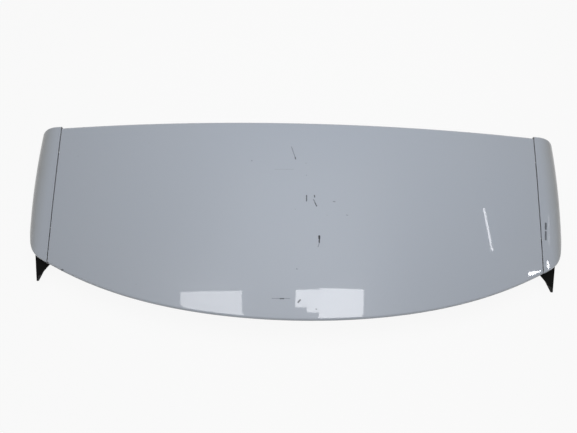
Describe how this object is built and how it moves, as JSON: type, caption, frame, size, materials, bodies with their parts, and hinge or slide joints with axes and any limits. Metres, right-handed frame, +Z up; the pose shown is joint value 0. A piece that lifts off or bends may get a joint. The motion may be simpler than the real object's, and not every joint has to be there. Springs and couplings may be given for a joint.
{
  "type": "tailgate spoiler",
  "caption": "Wide cambered spoiler for the top of a tailgate, with separate painted end caps, black side fins, a lower shell on studs and a stop lamp in its tail face.",
  "frame": {"origin": "bottom centre of the box around the part, on the plane that the side fins stand on", "axes": "+X to the right across the car, +Y forward along the car, +Z up"},
  "size_m": [1.1622, 0.4158, 0.1267],
  "materials": {
    "paint": "light blue-grey paint under a gloss clear coat",
    "fin_plastic": "black, satin gloss",
    "shell_plastic": "black, fine grain",
    "lens": "clear red, polished",
    "housing_plastic": "dark grey, plain moulded",
    "circuit_board": "white solder mask",
    "light_source": "clear over yellow",
    "rubber": "matt black",
    "foam": "closed-cell foam",
    "clip_plastic": "natural moulded plastic",
    "zinc": "zinc plated"
  },
  "bodies": {
    "root": {"upper_skin": "paint", "end_cap_left": "paint", "end_cap_right": "paint", "side_fin_left": "fin_plastic", "side_fin_right": "fin_plastic", "lower_shell": "shell_plastic", "stop_lamp_lens": "lens", "stop_lamp_gasket": "rubber", "stop_lamp_housing": "housing_plastic", "stop_lamp_board": "circuit_board", "stop_lamp_leds": "light_source", "stop_lamp_screws": "zinc", "mounting_studs": "zinc", "stud_seals": "foam", "retaining_clips": "clip_plastic", "buffers": "rubber", "front_edge_seal": "rubber", "cap_screws_left": "zinc", "cap_screws_right": "zinc", "fin_screws_left": "zinc", "fin_screws_right": "zinc"}
  },
  "joints": []
}
